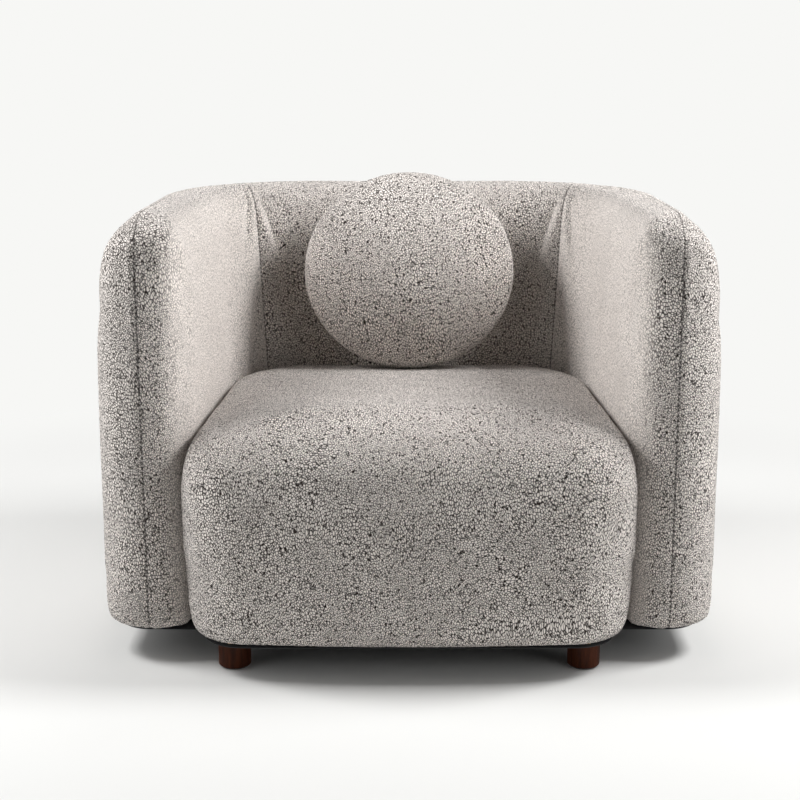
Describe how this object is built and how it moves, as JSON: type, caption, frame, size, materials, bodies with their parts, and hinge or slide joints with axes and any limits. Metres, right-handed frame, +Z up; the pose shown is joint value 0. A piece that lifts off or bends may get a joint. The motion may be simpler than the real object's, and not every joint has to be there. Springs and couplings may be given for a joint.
{
  "type": "upholstered tub chair",
  "caption": "Low tub chair with one wrapped back and arm shell, a deep block seat set forward of the arms, short turned feet and a loose round back cushion.",
  "frame": {"origin": "on the floor, under the middle of the chair's width and depth", "axes": "+X to the right as seen from the front, +Y to the back, +Z up; the front faces -Y"},
  "size_m": [1, 0.84, 0.7447],
  "materials": {
    "boucle": "matte",
    "foam": "matte",
    "wadding": "matte",
    "plywood": "matte",
    "softwood": "matte",
    "card": "matte",
    "steel": "satin",
    "felt": "matte",
    "lining": "matte",
    "foot_wood": "satin"
  },
  "bodies": {
    "chair": {"outer_cover": "boucle", "inner_back_cover": "boucle", "left_arm_cover": "boucle", "right_arm_cover": "boucle", "seat_cover": "boucle", "back_inner_foam": "foam", "left_inner_foam": "foam", "right_inner_foam": "foam", "left_arm_front_foam": "foam", "right_arm_front_foam": "foam", "back_top_roll": "foam", "left_top_roll": "foam", "right_top_roll": "foam", "seat_foam": "foam", "seat_border_foam": "foam", "back_outer_wadding": "wadding", "left_outer_wadding": "wadding", "right_outer_wadding": "wadding", "lower_rib": "plywood", "upper_rib": "plywood", "left_arm_front_board": "plywood", "right_arm_front_board": "plywood", "inner_board": "plywood", "box_front_panel": "plywood", "box_back_panel": "plywood", "box_left_panel": "plywood", "box_right_panel": "plywood", "frame_posts": "softwood", "tie_rails": "softwood", "box_centre_rail": "softwood", "foot_blocks": "softwood", "back_corner_blocks": "softwood", "seat_springs": "steel", "spring_clips": "steel", "foot_bolts": "steel", "tee_nuts": "steel", "front_left_foot": "foot_wood", "front_right_foot": "foot_wood", "rear_left_foot": "foot_wood", "rear_right_foot": "foot_wood", "outer_card": "card", "spring_felt": "felt", "foot_glides": "felt", "dust_cover": "lining"},
    "cushion": {"cushion_cover": "boucle", "cushion_filling": "wadding"}
  },
  "joints": [
    {"name": "cushion_lift", "type": "slide", "parent": "chair", "child": "cushion", "axis": [0, 0, 1], "range_m": [0, 0.45]}
  ]
}
